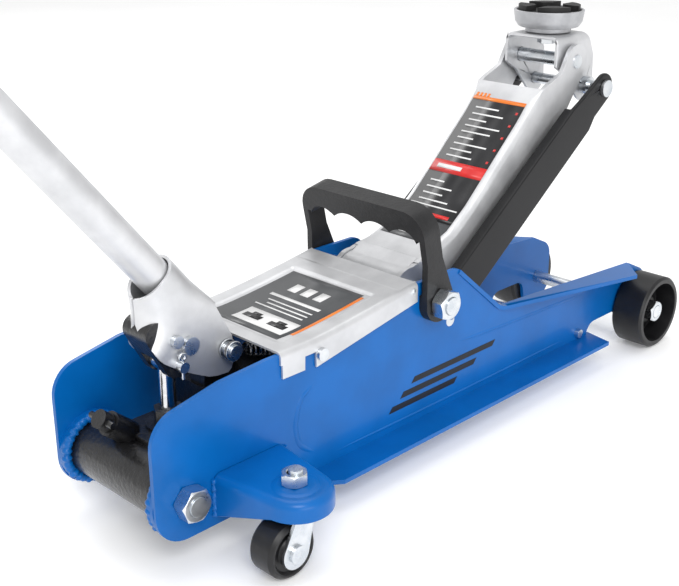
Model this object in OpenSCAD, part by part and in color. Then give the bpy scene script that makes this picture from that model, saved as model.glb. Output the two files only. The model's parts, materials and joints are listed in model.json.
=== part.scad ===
// Compact hydraulic trolley jack: two pressed side plates on wheels, a lifting arm
// kept level by a parallel link, a hand pump with a socket for a two-piece handle.
// X runs forward to the saddle, Y to the left, Z up from the floor, in millimetres.
// Stations are measured forward from the rear edge of the side plates.

/* [Frame] */
// Distance from the centre plane to the outer face of each side plate
plate_y = 58; // [57:0.5:59]
// Thickness of the side plates
plate_t = 3.5; // [3:0.5:4]
// Height of the underside of the side plates
plate_bottom = 22; // [20:1:24]
// Width of the flanges, measured out from the centre plane
flange_y = 83.5; // [80:0.5:84]
// Station of the front axle
axle_x = 578; // [574:1:580]
// Diameter of the front axle
axle_d = 12; // [10:1:12]
// Station of the cross rod
rod_x = 486; // [470:1:490]

/* [Wheels] */
// Radius of the front wheels
wheel_r = 35; // [34:0.5:36]
// Width of the front wheels
wheel_w = 32; // [28:1:32]
// Radius of the caster wheels
caster_r = 20.8; // [20:0.2:21]
// Half width of the caster wheels
caster_half_w = 11.5; // [11:0.5:12]
// Station of the caster swivel axis
caster_x = 79; // [78:1:80]
// Distance of the caster swivel axis from the centre plane
caster_y = 107.5; // [106:0.5:108]
// Distance of the caster wheel axis behind the swivel axis
caster_trail = 13.5; // [12:0.5:14]

/* [Lifting arm] */
// Station of the arm pivot
arm_x = 274; // [272:1:276]
// Height of the arm pivot
arm_z = 125; // [124:1:126]
// Distance between the two pivots of the arm
arm_len = 266; // [264:1:268]
// Angle of the arm above level, as drawn
arm_angle = 36; // [35:1:37]
// Half width of the arm over its side walls
arm_half_w = 35; // [34:0.5:35.5]
// Thickness of the arm walls
arm_t = 4; // [3.5:0.5:4]
// Diameter of the arm shaft
shaft_d = 20; // [18:1:20]
// Radius from the arm pivot to the crank pin
crank_r = 40; // [39:0.5:41]
// Angle of the crank ahead of straight down, as drawn
crank_lead = 12.5; // [12:0.5:13]

/* [Parallel link] */
// Forward offset of each link pivot from the arm pivot beside it
link_dx = 23.5; // [23:0.5:24]
// Downward offset of each link pivot from the arm pivot beside it
link_dz = 24.5; // [24:0.5:25]
// Distance from the centre plane to the outer face of the link
link_y = 50; // [49:0.5:50]
// Half the depth of the link
link_half = 17; // [16:0.5:17]

/* [Saddle] */
// Forward offset of the saddle axis from the bracket pivot
saddle_dx = 3.5; // [3:0.5:4]
// Radius of the saddle cup at its rim
saddle_r = 31; // [30:0.5:31]
// Height of the saddle cup
saddle_h = 19; // [18.5:0.5:19.5]
// Height of the rubber pad above the rim of the cup
pad_rise = 4; // [3.5:0.5:4.5]

/* [Pump and handle] */
// Angle of the handle above level, as drawn
handle_angle = 51; // [50:1:52]
// Outside diameter of the handle tube
handle_d = 25; // [24:0.5:25]
// Length of the handle beyond the rim of its socket
handle_reach = 496.5; // [480:0.5:500]
// Depth of the handle inside its socket
handle_seat = 46; // [44:1:46]
// Station of the socket pivot
fulcrum_x = 99; // [98:1:100]
// Height of the socket pivot
fulcrum_z = 126; // [125:1:127]
// Distance from the socket pivot back to the plunger pin
lever_r = 41.5; // [41:0.5:42]
// Diameter of the pump plunger
plunger_d = 12; // [11:0.5:12]
// Diameter of the ram
ram_d = 24; // [22:1:24]
// Height of the ram axis
ram_z = 88; // [87:0.5:89]

/* [Hidden] */
$fn = 72;
clear = 0.3;      // gap between pieces that move past each other
run = 0.05;       // radial clearance of a running fit
fit_hole = 0.1;   // radial clearance of a bolt in its hole

// Colours
paint = [0.06, 0.36, 0.74];
zinc = [0.75, 0.78, 0.80];
silver = [0.72, 0.72, 0.72];
black = [0.10, 0.10, 0.11];
steel = [0.60, 0.60, 0.62];

// Main points, as [station, height]
arm_pivot = [arm_x, arm_z];
bracket_pivot = arm_pivot + arm_len * [cos(arm_angle), sin(arm_angle)];
link_root = arm_pivot + [link_dx, -link_dz];
link_tip = bracket_pivot + [link_dx, -link_dz];
crank_pivot = arm_pivot + crank_r * [sin(crank_lead), -cos(crank_lead)];
fulcrum = [fulcrum_x, fulcrum_z];
plunger_pivot = fulcrum - [lever_r, 0];
socket_rim = [50, 191];
rod_z = 32;

// Plates
plate_in = plate_y - plate_t;
plate_len = 600;
trunnion = [26.5, 51];
trunnion_r = 21;
trunnion_bolt_d = 14;
hump_z = 143.5;

// Saddle bracket, relative to its pivot
bracket_half_w = 28;
bracket_t = 3;
bracket_top = 22;
bracket_pin_d = 12;
link_pin_d = 10;
saddle_x = bracket_pivot[0] + saddle_dx;
bracket_top_z = bracket_pivot[1] + bracket_top;
saddle_z = bracket_top_z + 0.8;

// Power unit
block_front = 112;
cap_front = 219;
cap_len = 12;
cylinder_r = 24;
piston_r = 15;
ram_head_back = 34;      // from the crank pin to the back of the ram head
slot_x = 0.9;            // play of the crank pin along the slot of the ram head
spring_r = 5.5;
spring_rear_y = 22;      // the springs spread out towards the arm
spring_front_y = 36;
spring_back = 22;        // from the crank pin back to the spring pin
gland_top = 89;

// Handle
grip_r = 16;
grip_len = 110;
grip_chamfer = 3;
joint_reach = 215;       // from the socket rim to the joint between the tubes
spigot_len = 50;
tube_t = 2;
socket_ro = 16;
socket_ri = 13.6;
button_reach = joint_reach + 25;

// The origin is midway between the rear of the handle and the front of the wheels
rear_reach = socket_rim[0] - cos(handle_angle) * (handle_reach - grip_chamfer)
    - sin(handle_angle) * grip_r;
mid_x = (axle_x + wheel_r + rear_reach) / 2;

// ---------- helpers ----------

module at_origin() translate([-mid_x, 0, 0]) children();

// Draws in the station and height plane, extruded across the jack from y0 to y1
module side_slab(y0, y1) translate([0, y1, 0]) rotate([90, 0, 0]) linear_extrude(y1 - y0) children();

// A round bar across the jack
module cross_bar(p, r, y0, y1) translate([p[0], y0, p[1]]) rotate([-90, 0, 0]) cylinder(r = r, h = y1 - y0);

// The same piece on both sides of the centre plane
module both_sides() for (m = [0, 1]) mirror([0, m, 0]) children();

// The piece as built for the left side, or its mirror image for the right
module on_side(s) mirror([0, s < 0 ? 1 : 0, 0]) children();

// Places children along the handle: their Z runs up the handle from the socket rim
module on_handle() translate([socket_rim[0], 0, socket_rim[1]]) rotate([0, handle_angle - 90, 0]) children();

// Hexagon nut or bolt head with its base at y0, across a Y axis
module hex_y(p, flats, y0, y1) translate([p[0], y0, p[1]]) rotate([-90, 0, 0])
    cylinder(r = flats / sqrt(3), h = y1 - y0, $fn = 6);

// Points of an arc in the plane
function arc(c, r, a0, a1, n = 10) = [for (i = [0 : n]) let (a = a0 + (a1 - a0) * i / n) c + r * [cos(a), sin(a)]];

// An arch of half width w from foot up to height h, with corners of radius r
function arch(w, h, r, foot) = concat([[w, foot]], arc([w - r, h - r], r, 0, 90, 8),
    arc([r - w, h - r], r, 90, 180, 8), [[-w, foot]]);

// A bar outline with round ends
module strap(a, ra, b, rb) hull() {
    translate(a) circle(ra, $fn = 48);
    translate(b) circle(rb, $fn = 48);
}

// ---------- frame ----------

// Height of the top edge of a plate behind the arm pivot
function rear_top(x) = 129.5 + 14 * pow(max(0, (x - 140) / 114), 1.3);

module plate_outline() polygon(concat(
    arc([26, 48], 26, 180, 270),
    [[502, plate_bottom]],
    arc([514, plate_bottom + 2], 12, 180, 90, 6),
    arc([544, plate_bottom + 2], 12, 90, 0, 6),
    [[558, 14]],
    arc([plate_len - 10, 24], 10, -90, 0, 6),
    arc([plate_len - 18, 54], 18, 0, 60, 6),
    [[570, 79.5], [372, 93]],
    arc([372, 113], 20, -90, -128, 6),
    arc([300, hump_z - 14], 14, 40, 90, 6),
    [for (x = [254 : -19 : 140]) [x, rear_top(x)]],
    [[100, 129.5], [58, 127]],
    arc([24, 96], 24, 98, 180, 8)));

// Centre line of the top flange, from the hump down to its front end
function flange_line() = concat(
    arc([300, hump_z - 14], 14 - plate_t / 2, 60, 40, 3),
    arc([372, 113], 20 + plate_t / 2, -128, -90, 6),
    [[570, 79.5 - plate_t / 2]]);

module flange_band() {
    pts = flange_line();
    for (i = [0 : len(pts) - 2]) strap_line(pts[i], pts[i + 1], plate_t);
}

// A thick line between two points
module strap_line(a, b, t) {
    d = b - a;
    translate(a) rotate(atan2(d[1], d[0])) translate([0, -t / 2]) square([norm(d), t]);
}

module side_plate(s) at_origin() color(paint) on_side(s) difference() {
    union() {
        side_slab(plate_in, plate_y) plate_outline();
        // bottom flange
        translate([0, 0, plate_bottom]) linear_extrude(plate_t) difference() {
            polygon([[118, plate_in + 1], [118, plate_y], [150, flange_y], [502, flange_y], [508, plate_in + 1]]);
            translate([516, 76]) circle(10);
        }
        // top flange
        intersection() {
            side_slab(plate_in + 1, flange_y) offset(delta = 0.01) flange_band();
            linear_extrude(200) polygon([[300, plate_in], [300, plate_y + 1], [360, plate_y + 1.5],
                [542, flange_y], [572, plate_in]]);
        }
        // weld ring round the end of the cast tube
        cross_bar(trunnion, trunnion_r + 6, plate_in - 6, plate_in + 1);
    }
    cross_bar(trunnion, trunnion_r + clear, plate_in - 7, plate_in);
    cross_bar(trunnion, trunnion_bolt_d / 2 + fit_hole, 0, 100);
    cross_bar(arm_pivot, 7 + fit_hole, 0, 100);
    cross_bar(link_root, link_pin_d / 2 + fit_hole, 0, 100);
    cross_bar([axle_x, wheel_r], axle_d / 2 + fit_hole, 0, 100);
    cross_bar([rod_x, rod_z], 4 + fit_hole, 0, 100);
    cross_bar([150, 119], 2.5 + fit_hole, 0, 100);
}

module side_plate_right() side_plate(-1);
module side_plate_left() side_plate(1);

// Plan of a caster bracket, grown by g
module bracket_plan(g) offset(r = g) hull() {
    translate([caster_x + 1, caster_y - 0.5]) circle(26);
    translate([48, plate_y + 1]) square([66, 2]);
}

module caster_bracket(s) at_origin() color(paint) on_side(s) {
    top_z = 61.5;
    difference() {
        union() {
            translate([0, 0, 26]) linear_extrude(top_z - 26) bracket_plan(0);
            translate([caster_x, caster_y, top_z - 1]) cylinder(r = 16, h = 2);
        }
        translate([0, 0, 20]) linear_extrude(top_z - 3 - 20) intersection() {
            bracket_plan(-3);
            translate([0, plate_y + 3]) square(200);
        }
        // the skirt is deep at the plate and shallow at the nose
        translate([0, plate_y, 0]) rotate([90, 0, 90]) linear_extrude(200)
            polygon([[2, 0], [2, 29], [38, 46], [90, 46], [90, 0]]);
        translate([0, plate_y - 50, 0]) cube([200, 50 + clear / 3, 100]);
        translate([caster_x, caster_y, 0]) cylinder(r = 5 + fit_hole, h = 100);
    }
}

module caster_bracket_right() caster_bracket(-1);
module caster_bracket_left() caster_bracket(1);

module front_axle() at_origin() color(zinc)
    cross_bar([axle_x, wheel_r], axle_d / 2, -88, 88);

wheel_y0 = plate_y + 0.8;

module front_axle_nuts() at_origin() color(zinc) both_sides() difference() {
    hex_y([axle_x, wheel_r], 19, wheel_y0 + 19.5, wheel_y0 + 29);
    cross_bar([axle_x, wheel_r], axle_d / 2 + run, 0, 100);
}

module cross_rod() at_origin() color(zinc) {
    cross_bar([rod_x, rod_z], 6, -plate_in + 0.2, plate_in - 0.2);
    cross_bar([rod_x, rod_z], 4, -plate_y - 4, plate_y + 4);
}

// ---------- power unit ----------

module pump_block() at_origin() color(black) difference() {
    union() {
        cross_bar(trunnion, trunnion_r, -plate_in + 0.2, plate_in - 0.2);
        translate([30, -24, 34]) cube([block_front - 30, 48, 42]);
        translate([plunger_pivot[0], 0, 34]) cylinder(r = 17, h = 44);
        translate([82, -24, 60]) cube([block_front - 82, 48, 38]);
        side_slab(-8, 8) strap([98, 100], 14, fulcrum, 12);
        // boss of the release valve
        valve_place(-26) cylinder(r = 9, h = 22);
    }
    cross_bar(trunnion, trunnion_bolt_d / 2 + run, -60, -24);
    cross_bar(trunnion, trunnion_bolt_d / 2 + run, 24, 60);
    cross_bar(fulcrum, 5 + run, -20, 20);
    translate([plunger_pivot[0], 0, 42]) cylinder(r = plunger_d / 2 + run, h = 60);
    translate([plunger_pivot[0], 0, 70]) cylinder(r = 9 + run, h = 30);
    valve_place(-20) cylinder(r = 6 + run, h = 40);
}

// Axis of the release valve, pointing back and up
valve_tip = [12, 12, 90];
valve_tilt = -50;
module valve_place(d) translate(valve_tip) rotate([0, valve_tilt, 0]) translate([0, 0, d]) children();

module release_valve() at_origin() color(black) difference() {
    union() {
        valve_place(-19) cylinder(r = 6, h = 17);
        valve_place(-3) cylinder(r = 6.8, h = 9);
    }
    valve_place(2) rotate([90, 0, 0]) cylinder(r = 2.5 + run, h = 30, center = true);
}

module valve_cross_pin() at_origin() color(black)
    valve_place(2) rotate([90, 0, 0]) cylinder(r = 2.5, h = 26, center = true);

module trunnion_bolts() at_origin() color(zinc) both_sides()
    cross_bar(trunnion, trunnion_bolt_d / 2, 25, plate_y + 12.4);

module trunnion_nuts() at_origin() color(zinc) both_sides() difference() {
    hex_y(trunnion, 22, plate_y + 0.1, plate_y + 11.4);
    cross_bar(trunnion, trunnion_bolt_d / 2 + run, 0, 100);
}

module cylinder_body_bar(r, x0, x1) translate([x0, 0, ram_z]) rotate([0, 90, 0]) cylinder(r = r, h = x1 - x0);

module ram_cylinder() at_origin() color(black) difference() {
    cylinder_body_bar(cylinder_r, block_front + 0.1, cap_front - cap_len);
    cylinder_body_bar(piston_r + run, block_front + 6, cap_front);
    translate([150, 0, 100]) cylinder(r = 4 + run, h = 30);
}

module cylinder_cap() at_origin() color(black) difference() {
    cylinder_body_bar(cylinder_r + 2, cap_front - cap_len + 0.1, cap_front);
    cylinder_body_bar(ram_d / 2 + run, 0, 300);
    // spanner notches in the rim
    for (a = [45 : 90 : 315]) translate([cap_front - 5, 0, ram_z]) rotate([a, 0, 0])
        translate([0, 19, -3]) cube([10, 10, 6]);
}

module ram() at_origin() color(steel) {
    cylinder_body_bar(ram_d / 2, 170, crank_pivot[0] - ram_head_back - 0.1);
    cylinder_body_bar(piston_r, 158, 171);
}

module ram_head() at_origin() color(black) difference() {
    translate([crank_pivot[0] - ram_head_back, -9, ram_z - 14]) cube([ram_head_back + 13, 18, 28]);
    // upright slot that lets the crank pin rise and fall
    side_slab(-20, 20) translate([crank_pivot[0], 0]) hull() {
        for (z = [arm_z - crank_r + 0.2, arm_z - crank_r + 5.8])
            translate([0, z]) circle(6 + slot_x);
    }
    cross_bar([crank_pivot[0] - spring_back, ram_z], 4 + run, -20, 20);
}

module spring_pin() at_origin() color(zinc)
    cross_bar([crank_pivot[0] - spring_back, ram_z], 4, -spring_front_y - 4, spring_front_y + 4);

module pump_gland() at_origin() color(black) translate([plunger_pivot[0], 0, 0]) difference() {
    union() {
        translate([0, 0, 70.2]) cylinder(r = 9, h = 10);
        translate([0, 0, 78.1]) cylinder(r = 11.5, h = gland_top - 78.1, $fn = 6);
    }
    translate([0, 0, 60]) cylinder(r = plunger_d / 2 + run, h = 40);
}

module filler_plug() at_origin() color(black) translate([150, 0, 0]) {
    translate([0, 0, 105]) cylinder(r = 4, h = 8);
    translate([0, 0, 112.1]) cylinder(r = 7, h = 4);
}

module fulcrum_pin() at_origin() color(zinc) cross_bar(fulcrum, 5, -spring_rear_y - 5, spring_rear_y + 5);

// Retaining rings either side of the spring hooks
module fulcrum_clips() at_origin() color(zinc) both_sides() for (y = [17, spring_rear_y + 2]) difference() {
    cross_bar(fulcrum, 7.5, y, y + 1.2);
    cross_bar(fulcrum, 5 + run, y - 1, y + 3);
}

// Stretched return spring, drawn as its outer envelope between its hooks
module return_spring(s) at_origin() color(black) on_side(s) {
    a = [fulcrum[0] + 13, spring_rear_y, fulcrum[1] - 3];
    b = [crank_pivot[0] - spring_back - 8, spring_front_y, ram_z + 1.5];
    d = b - a;
    translate(a) rotate([0, acos(d[2] / norm(d)), atan2(d[1], d[0])]) difference() {
        cylinder(r = spring_r, h = norm(d));
        translate([0, 0, -1]) cylinder(r = spring_r - 1.8, h = norm(d) + 2);
    }
}

module return_spring_right() return_spring(-1);
module return_spring_left() return_spring(1);

// ---------- cover ----------

cover_x0 = 111;
cover_x1 = 254;
cover_t = 1.8;
function cover_z(x) = rear_top(x) + 0.4;

module cover_band(t) polygon(concat(
    [for (x = [cover_x0 : 11 : cover_x1]) [x, cover_z(x) + t]],
    [for (x = [cover_x1 : -11 : cover_x0]) [x, cover_z(x)]]));

module top_cover() at_origin() color(silver) difference() {
    union() {
        side_slab(-plate_y - cover_t - clear, plate_y + cover_t + clear) cover_band(cover_t);
        // side flanges with the rear tab
        both_sides() side_slab(plate_y + clear, plate_y + clear + cover_t) polygon([
            [cover_x1, cover_z(cover_x1) + 1], [cover_x1, 129.5], [145, 110], [145, 122], [134, 122],
            [134, 111], [115, 112], [cover_x0 + 1, 122], [cover_x0 + 1, cover_z(cover_x0) + 1],
            [140, cover_z(140) + 1], [197, cover_z(197) + 1]]);
    }
    cross_bar([150, 119], 2.5 + fit_hole, -100, 100);
}

module cover_screws() at_origin() color(zinc) both_sides() {
    cross_bar([150, 119], 2.5, plate_in - 4, plate_y + 3);
    cross_bar([150, 119], 4.8, plate_y + clear + cover_t + 0.1, plate_y + 5);
}

// ---------- arm ----------

module arm_shaft() at_origin() color(zinc) {
    cross_bar(arm_pivot, shaft_d / 2, -plate_in + 0.2, plate_in - 0.2);
    cross_bar(arm_pivot, 7, -plate_y - 21, plate_y + 21);
}

foot_t = 8;

module arm_shaft_nuts() at_origin() color(zinc) both_sides() difference() {
    hex_y(arm_pivot, 22, plate_y + foot_t + 0.8, plate_y + foot_t + 11.8);
    cross_bar(arm_pivot, 7 + run, 0, 100);
}

module link_anchor_pins() at_origin() color(zinc) both_sides() {
    cross_bar(link_root, link_pin_d / 2, link_y - 6, plate_y);
    cross_bar(link_root, 7.5, link_y - 7.5, link_y - 4.3);
}

// Places a side outline drawn along the arm, with its origin at the arm pivot
module arm_place() translate(arm_pivot) rotate(arm_angle) children();

// Upper edge of the arm as drawn along the arm
arm_top = [[20, 14], [28, 11], [42, 6], [64, 0], [92, 0], [180, 9.5], [205, 14], [216, 14.5]];
arm_low = -30;
ear_r = 15;
hub_lobe = 21;

module arm_outline() polygon(concat(
    arc([0, 0], hub_lobe, 43, 250, 20),
    [[24, arm_low], [arm_len - 45, arm_low], [arm_len - 20, -22]],
    arc([arm_len, 0], ear_r, -70, 120, 14),
    [[arm_len - 22, 7], [arm_len - 30, 9], [216, 14.5], [205, 14], [180, 9.5], [92, 0], [64, 0], [42, 6], [28, 11]]));

module arm_skin() for (i = [0 : len(arm_top) - 2]) {
    a = arm_top[i];
    b = arm_top[i + 1];
    polygon([a, b, b - [0, arm_t], a - [0, arm_t]]);
}

module lift_arm() at_origin() color(silver) difference() {
    union() {
        both_sides() side_slab(arm_half_w - arm_t, arm_half_w) arm_place() arm_outline();
        side_slab(-arm_half_w + 1, arm_half_w - 1) arm_place() arm_skin();
    }
    cross_bar(arm_pivot, shaft_d / 2 + run, -100, 100);
    cross_bar(bracket_pivot, bracket_pin_d / 2 + run, -100, 100);
}

module arm_hub() at_origin() color(silver) difference() {
    union() {
        cross_bar(arm_pivot, 15, -arm_half_w + arm_t + 0.2, arm_half_w - arm_t - 0.2);
        both_sides() side_slab(10, 17) strap(arm_pivot, 16, crank_pivot, 12);
    }
    cross_bar(arm_pivot, shaft_d / 2 + run, -100, 100);
    cross_bar(crank_pivot, 6 + run, -100, 100);
}

module crank_pin() at_origin() color(steel) {
    cross_bar(crank_pivot, 6, -20, 20);
}

// ---------- parallel link ----------

module link_place() translate(link_root) rotate(arm_angle) children();

module link_leg_outline() polygon(concat(
    arc([0, 0], 14, 100, 250, 12),
    [[24, -link_half], [arm_len - 36, -link_half], [arm_len - 24, -12.5]],
    arc([arm_len, 0], 13, -80, 80, 12),
    [[arm_len - 30, 15], [arm_len - 44, link_half], [24, link_half]]));

module link() at_origin() color(black) difference() {
    union() {
        both_sides() {
            side_slab(link_y - 4, link_y) link_place() link_leg_outline();
            side_slab(link_y - 10, link_y - 3) link_place()
                translate([24, link_half - 3.5]) square([arm_len - 68, 3.5]);
        }
        side_slab(-link_y + 1, link_y - 1) link_place()
            translate([62, -link_half]) square([arm_len - 100, 3.5]);
    }
    cross_bar(link_root, link_pin_d / 2 + run, -100, 100);
    // the pivot at the tip is left free, so its holes have play
    cross_bar(link_tip, link_pin_d / 2 + 0.5, -100, 100);
}

// ---------- saddle ----------

module bracket_place() translate(bracket_pivot) children();

// A block as wide as 2 w with round upper edges of radius r, from foot up to top
module bracket_section(w, top, r, foot) translate([bracket_pivot[0] - 40, 0, bracket_pivot[1]])
    rotate([90, 0, 90]) linear_extrude(100) polygon(arch(w, top, r, foot));

module saddle_bracket() at_origin() color(silver) difference() {
    union() {
        // an inverted U with round shoulders, cut to its side outline
        side_slab(-bracket_half_w, bracket_half_w) bracket_place()
            polygon(concat([[-21, bracket_top], [-21, -4], [-6, -13]],
                arc([link_dx, -link_dz], 14, 215, 360, 10),
                [[36, 2], [26, bracket_top]]));
    }
    bracket_section(bracket_half_w - bracket_t, bracket_top - bracket_t, 4, -60);
    difference() {
        translate([bracket_pivot[0] - 30, -40, bracket_pivot[1] - 60]) cube([80, 80, 61 + bracket_top]);
        bracket_section(bracket_half_w, bracket_top, 7, -70);
    }
    cross_bar(bracket_pivot, bracket_pin_d / 2 + run, -100, 100);
    cross_bar(link_tip, link_pin_d / 2 + fit_hole, -100, 100);
    translate([saddle_x, 0, bracket_top_z - 20]) cylinder(r = 6 + run, h = 40);
}

module bracket_pin() at_origin() color(zinc) {
    cross_bar(bracket_pivot, bracket_pin_d / 2, -arm_half_w - 1, arm_half_w + 1);
}

module link_top_pin() at_origin() color(zinc) {
    cross_bar(link_tip, link_pin_d / 2, -link_y - 2, link_y + 2);
    cross_bar(link_tip, 7.5, -link_y - 3.5, -link_y - 0.5);
    both_sides() cross_bar(link_tip, 8, bracket_half_w + 0.1, bracket_half_w + 7);
}

module link_top_clips() at_origin() color(zinc) difference() {
    cross_bar(link_tip, 8, link_y + 0.5, link_y + 1.7);
    cross_bar(link_tip, link_pin_d / 2 + run, 0, 100);
}

cup_floor = 8.2;
pad_z = saddle_z + cup_floor + 0.1;
pad_top = saddle_z + saddle_h + pad_rise;

module saddle() at_origin() color(silver) translate([saddle_x, 0, saddle_z]) rotate_extrude()
    polygon([[6 + run, 0], [20, 0], [20, 4], [26.5, 4.6], [saddle_r - 1.5, 9], [saddle_r, saddle_h],
        [saddle_r - 2.6, saddle_h], [saddle_r - 3.6, 10.6], [saddle_r - 6, cup_floor], [6 + run, cup_floor]]);

module saddle_pad() at_origin() color(black) translate([saddle_x, 0, 0]) {
    difference() {
        union() {
            translate([0, 0, pad_z]) cylinder(r = saddle_r - 6.2, h = pad_top - 6 - pad_z);
            translate([0, 0, pad_z + 2.5]) cylinder(r = saddle_r - 4, h = pad_top - pad_z - 2.5);
        }
        // sunk centre and four cross channels leave raised blocks round the rim
        translate([0, 0, pad_top - 5]) cylinder(r = 13, h = 10);
        for (a = [0, 90]) rotate(a) translate([-50, -6, pad_top - 5]) cube([100, 12, 10]);
        translate([0, 0, pad_z - 1]) cylinder(r = 12, h = 6);
    }
}

module saddle_bolt() at_origin() color(zinc) translate([saddle_x, 0, 0]) {
    translate([0, 0, bracket_top_z - 10]) cylinder(r = 6, h = 19.5);
    translate([0, 0, saddle_z + cup_floor + 0.1]) cylinder(r = 10, h = 3.5);
    translate([0, 0, bracket_top_z - 9.5]) cylinder(r = 9, h = 5.8, $fn = 6);
}

// ---------- handle socket and pump lever ----------

lever_y = 13.2;
cheek_y = 16;
bolt_spots = [[66, 139], [55, 145]];

module socket_cheek() polygon([[62.4, 201], [77, 177], [91, 158], [104, 134], [104, 112], [100, 107],
    [86, 108], [66, 120], [50, 133], [43, 141], [40, 152], [42, 168]]);

module handle_socket() at_origin() color(silver) difference() {
    union() {
        on_handle() translate([0, 0, -46]) cylinder(r = socket_ro, h = 46);
        both_sides() side_slab(socket_ri, cheek_y) socket_cheek();
        // lips of the rear seam
        on_handle() both_sides() translate([-25, 2, -22]) cube([15, 2.4, 18]);
    }
    on_handle() translate([0, 0, -70]) cylinder(r = socket_ri, h = 100);
    on_handle() translate([-30, -2, -60]) cube([30, 4, 80]);
    // the lower rear of the tube is open between the cheeks
    side_slab(-socket_ri, socket_ri) polygon([[20, 166], [44, 166], [88, 140], [88, 90], [20, 90]]);
    cross_bar(fulcrum, 5 + run, -50, 50);
    cross_bar(plunger_pivot, 4 + run, -50, 50);
    for (p = bolt_spots) cross_bar(p, 3 + run, -50, 50);
}

module pump_lever() at_origin() color(black) difference() {
    union() {
        side_slab(-lever_y, lever_y) strap(plunger_pivot, 10, fulcrum, 10);
        side_slab(-lever_y, lever_y) strap(plunger_pivot, 10, [42, 152], 9);
        side_slab(-lever_y, lever_y) strap([58, 142], 8, [75.5, 139.5], 5.6);
    }
    // gap for the plunger head
    translate([plunger_pivot[0] - 16, -6.6, 100]) cube([34, 13.2, 39]);
    // gap for the ear of the pump block
    translate([plunger_pivot[0] + 12, -8.5, 90]) cube([60, 17, 47]);
    cross_bar(fulcrum, 5 + run, -50, 50);
    cross_bar(plunger_pivot, 4 + run, -50, 50);
    for (p = bolt_spots) cross_bar(p, 3 + run, -50, 50);
}

module plunger_pin() at_origin() color(zinc) {
    difference() {
        cross_bar(plunger_pivot, 4, -22, 21);
        cotter_place() cylinder(r = cotter_r + run, h = 20, center = true);
    }
    cross_bar(plunger_pivot, 6.5, 18, 21);
}

cotter_r = 1.2;
module cotter_place() translate([plunger_pivot[0], -19.5, plunger_pivot[1]]) children();

// Split pin with its eye above the pin that it locks
module plunger_cotter() at_origin() color(zinc) cotter_place() {
    translate([0, 0, -9]) cylinder(r = cotter_r, h = 15);
    translate([0, 0, 7.5]) rotate([90, 0, 0]) rotate_extrude() translate([2.4, 0]) circle(1, $fn = 24);
}

module socket_bolts() at_origin() color(zinc) for (i = [0, 1]) both_sides() {
    cross_bar(bolt_spots[i], 3, 8, cheek_y + 1);
    cross_bar(bolt_spots[i], i == 0 ? 6.5 : 4.5, cheek_y + 0.1, cheek_y + 4);
}

module plunger() at_origin() color(steel) translate([plunger_pivot[0], 0, 0]) {
    translate([0, 0, 63]) cylinder(r = plunger_d / 2, h = 57);
    // head with a level slot that lets the pin swing about the socket pivot
    side_slab(-6, 6) translate([0, fulcrum_z]) difference() {
        strap([-1, 0], 8, [6, 0], 8);
        strap([-0.4, 0], 4.6, [6, 0], 4.6);
    }
}

// ---------- handle ----------

module handle_lower() at_origin() color(silver) on_handle() difference() {
    union() {
        translate([0, 0, -handle_seat + 0.3]) cylinder(d = handle_d, h = handle_seat + joint_reach - 0.3);
        translate([0, 0, joint_reach - 1]) cylinder(r = handle_d / 2 - tube_t - 0.2, h = spigot_len + 1);
    }
    translate([0, 0, -handle_seat - 1]) cylinder(r = handle_d / 2 - tube_t - 2, h = handle_seat + joint_reach + 60);
    translate([0, 0, button_reach]) rotate([0, 90, 0]) cylinder(r = 4 + run, h = 30);
    // notch that fits over the cross pin of the release valve
    translate([-20, -3, -handle_seat - 1]) cube([40, 6, 13]);
}

module handle_upper() at_origin() color(silver) on_handle() difference() {
    translate([0, 0, joint_reach + 0.1]) cylinder(d = handle_d, h = handle_reach - joint_reach - 5);
    translate([0, 0, 0]) cylinder(r = handle_d / 2 - tube_t, h = handle_reach + 10);
    translate([0, 0, button_reach]) rotate([0, 90, 0]) cylinder(r = 4 + run, h = 30);
}

module handle_button() at_origin() color(zinc) on_handle() translate([0, 0, button_reach]) rotate([0, 90, 0]) {
    translate([0, 0, 5]) cylinder(r = 4, h = 10);
}

module handle_grip() at_origin() color(black) on_handle() rotate_extrude() polygon([
    [handle_d / 2 + 0.1, handle_reach - grip_len], [grip_r, handle_reach - grip_len],
    [grip_r, handle_reach - grip_chamfer], [grip_r - grip_chamfer, handle_reach],
    [0, handle_reach], [0, handle_reach - 4], [handle_d / 2 + 0.1, handle_reach - 4]]);

// ---------- wheels ----------

module front_wheel(s) at_origin() color(black) on_side(s) translate([axle_x, 0, wheel_r]) rotate([-90, 0, 0])
    rotate_extrude($fn = 96) polygon([
        [axle_d / 2 + run, wheel_y0], [wheel_r - 2, wheel_y0], [wheel_r, wheel_y0 + 2],
        [wheel_r, wheel_y0 + wheel_w - 2], [wheel_r - 2, wheel_y0 + wheel_w], [wheel_r - 6, wheel_y0 + wheel_w],
        [wheel_r - 8, wheel_y0 + 12], [14, wheel_y0 + 12], [13, wheel_y0 + 19], [axle_d / 2 + run, wheel_y0 + 19]]);

module front_wheel_right() front_wheel(-1);
module front_wheel_left() front_wheel(1);

caster_axle_x = caster_x - caster_trail;
fork_y = caster_half_w + 0.5;

module caster_bolts() at_origin() color(zinc) both_sides() translate([caster_x, caster_y, 0]) {
    translate([0, 0, 44]) cylinder(r = 5, h = 30);
    translate([0, 0, 43]) cylinder(r = 8, h = 3.7);
}

module caster_nuts() at_origin() color(zinc) both_sides() translate([caster_x, caster_y, 0]) difference() {
    translate([0, 0, 62.6]) cylinder(r = 17 / sqrt(3), h = 8.5, $fn = 6);
    translate([0, 0, 50]) cylinder(r = 5 + run, h = 40);
}

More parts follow.
